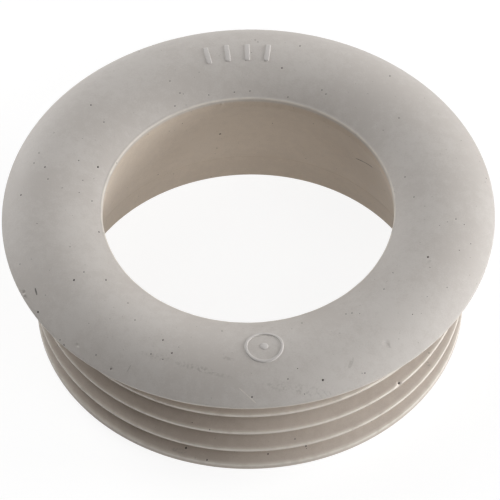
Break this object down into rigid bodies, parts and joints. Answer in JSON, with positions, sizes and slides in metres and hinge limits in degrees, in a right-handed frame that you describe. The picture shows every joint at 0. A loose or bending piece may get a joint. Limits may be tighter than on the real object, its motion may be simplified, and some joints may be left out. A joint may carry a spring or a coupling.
{
  "type": "flush pipe connector",
  "caption": "One-piece soft rubber connector for a flush pipe: a domed flange with a gripping lip, over a tapered sleeve ringed with thin sealing fins.",
  "frame": {"origin": "centre of the lower end's flat face", "axes": "+Z along the bore, towards the flange's lip; the ring mark on the flange faces -Y"},
  "size_m": [0.064, 0.064, 0.0231],
  "materials": {
    "rubber": "moulded off-white rubber, matt with a faint sheen"
  },
  "bodies": {
    "root": {"connector": "rubber"}
  },
  "joints": []
}
